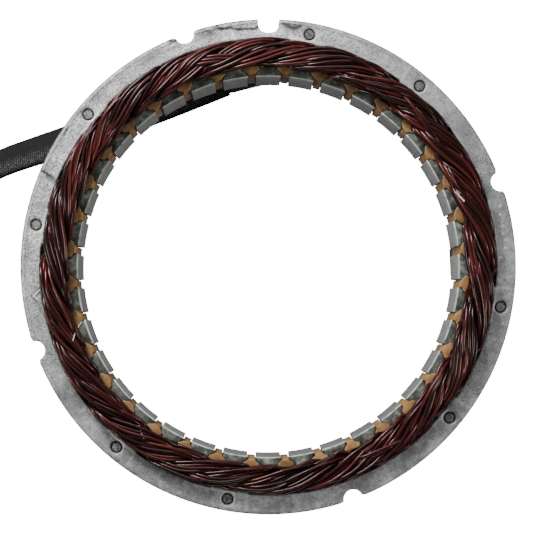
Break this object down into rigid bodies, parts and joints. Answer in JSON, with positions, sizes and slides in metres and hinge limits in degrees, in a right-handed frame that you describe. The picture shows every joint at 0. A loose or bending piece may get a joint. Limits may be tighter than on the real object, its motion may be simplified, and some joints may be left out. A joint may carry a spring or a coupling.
{
  "type": "magneto stator",
  "caption": "Ring-shaped magneto stator with a slotted laminated core, a three-phase diamond winding, two cast end rings and a short sleeved lead.",
  "frame": {"origin": "on the axis of the bore, on the resting face of the rear end ring", "axes": "+Z along the bore towards the front end ring; +Y towards the index notch; the lead leaves towards -X"},
  "size_m": [0.2134, 0.1499, 0.0472],
  "materials": {
    "core_steel": "punched edges with a thin varnish",
    "cast_aluminium": "as cast and lightly faced, with scuffs",
    "rivet_steel": "dull",
    "slot_paper": "varnished insulating paper",
    "enamelled_wire": "glossy dark red enamel on copper",
    "braided_sleeve": "black braid",
    "shrink_sleeve": "black, half gloss",
    "connector_plastic": "moulded"
  },
  "bodies": {
    "root": {"laminated_core": "core_steel", "front_end_ring": "cast_aluminium", "rear_end_ring": "cast_aluminium", "rivets": "rivet_steel", "slot_liners": "slot_paper", "slot_wedges": "slot_paper", "phase_u_pole_pair_1": "enamelled_wire", "phase_u_pole_pair_2": "enamelled_wire", "phase_u_pole_pair_3": "enamelled_wire", "phase_u_pole_pair_4": "enamelled_wire", "phase_u_pole_pair_5": "enamelled_wire", "phase_u_pole_pair_6": "enamelled_wire", "phase_v_pole_pair_1": "enamelled_wire", "phase_v_pole_pair_2": "enamelled_wire", "phase_v_pole_pair_3": "enamelled_wire", "phase_v_pole_pair_4": "enamelled_wire", "phase_v_pole_pair_5": "enamelled_wire", "phase_v_pole_pair_6": "enamelled_wire", "phase_w_pole_pair_1": "enamelled_wire", "phase_w_pole_pair_2": "enamelled_wire", "phase_w_pole_pair_3": "enamelled_wire", "phase_w_pole_pair_4": "enamelled_wire", "phase_w_pole_pair_5": "enamelled_wire", "phase_w_pole_pair_6": "enamelled_wire", "lead_joint_sleeve": "shrink_sleeve", "star_point_sleeve": "shrink_sleeve", "lead_sleeve": "braided_sleeve", "connector": "connector_plastic"}
  },
  "joints": []
}
